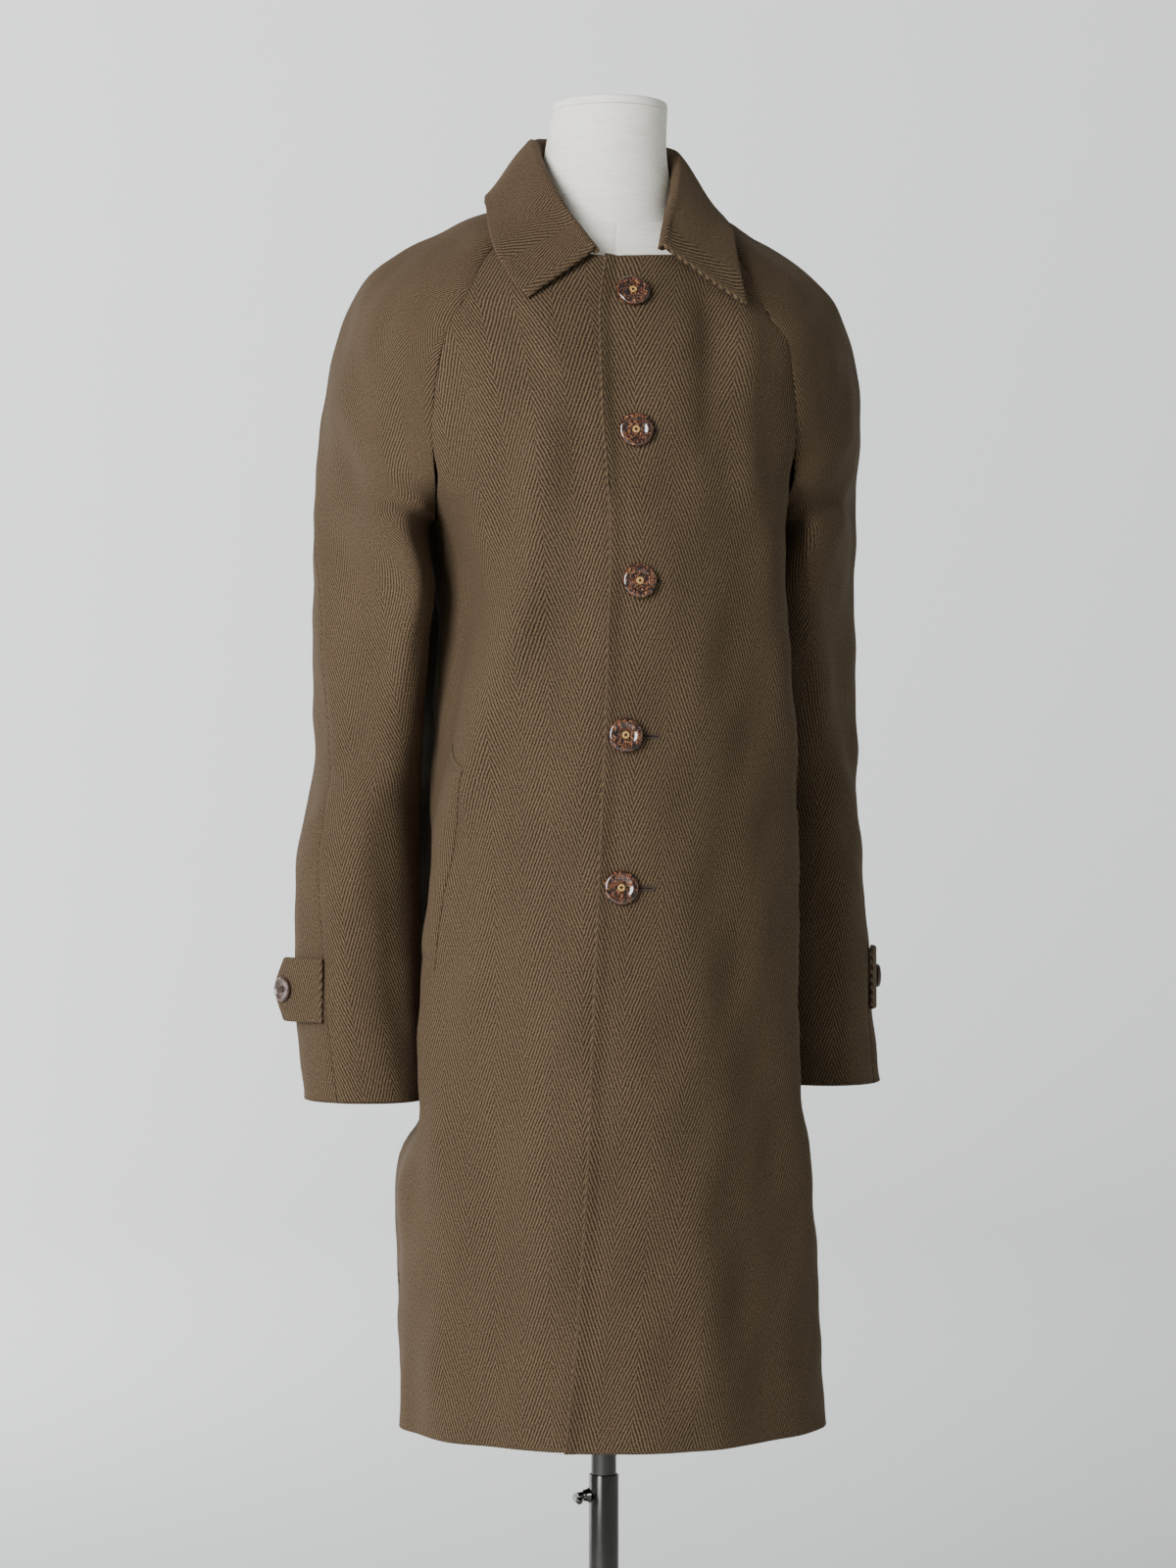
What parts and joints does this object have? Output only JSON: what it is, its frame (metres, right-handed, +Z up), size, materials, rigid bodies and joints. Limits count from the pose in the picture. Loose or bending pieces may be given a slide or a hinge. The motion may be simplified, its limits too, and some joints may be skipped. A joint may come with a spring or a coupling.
{
  "type": "single-breasted coat on a dress form",
  "caption": "Knee-length single-breasted raglan coat with a turned-down collar, buttoned up on a limbless dress form that stands on a round plate.",
  "frame": {"origin": "on the floor at the middle of the base's underside, under the pole", "axes": "+Z up along the pole, the coat faces -Y, +X is the wearer's left"},
  "size_m": [0.5296, 0.3605, 1.511],
  "materials": {
    "wool_cloth": "brown herringbone wool, slightly fuzzy",
    "horn_button": "polished dark brown with tan flecks",
    "linen_cover": "plain cream linen",
    "polished_steel": "polished bright steel"
  },
  "bodies": {
    "stand": {"base_plate": "polished_steel", "outer_tube": "polished_steel"},
    "pole": {"pole": "polished_steel"},
    "dress_form": {"right_front": "wool_cloth", "left_front": "wool_cloth", "back": "wool_cloth", "right_sleeve_front": "wool_cloth", "right_sleeve_back": "wool_cloth", "left_sleeve_front": "wool_cloth", "left_sleeve_back": "wool_cloth", "collar": "wool_cloth", "right_pocket_welt": "wool_cloth", "left_pocket_welt": "wool_cloth", "right_cuff_tab": "wool_cloth", "left_cuff_tab": "wool_cloth", "front_button_1": "horn_button", "front_button_2": "horn_button", "front_button_3": "horn_button", "front_button_4": "horn_button", "front_button_5": "horn_button", "right_tab_button": "horn_button", "left_tab_button": "horn_button", "form_torso": "linen_cover", "form_neck_cap": "linen_cover"},
    "screw": {"clamp_screw": "polished_steel"}
  },
  "joints": [
    {"name": "height_slide", "type": "slide", "parent": "stand", "child": "pole", "axis": [0, 0, 1], "range_m": [-0.13, 0.1]},
    {"name": "form_turn", "type": "hinge", "parent": "pole", "child": "dress_form", "pos_m": [0, 0, 0.83], "axis": [0, 0, 1], "continuous": true},
    {"name": "clamp_screw_turn", "type": "hinge", "parent": "stand", "child": "screw", "pos_m": [-0.018, 0, 0.335], "axis": [-1, 0, 0], "range_deg": [0, 270]}
  ]
}
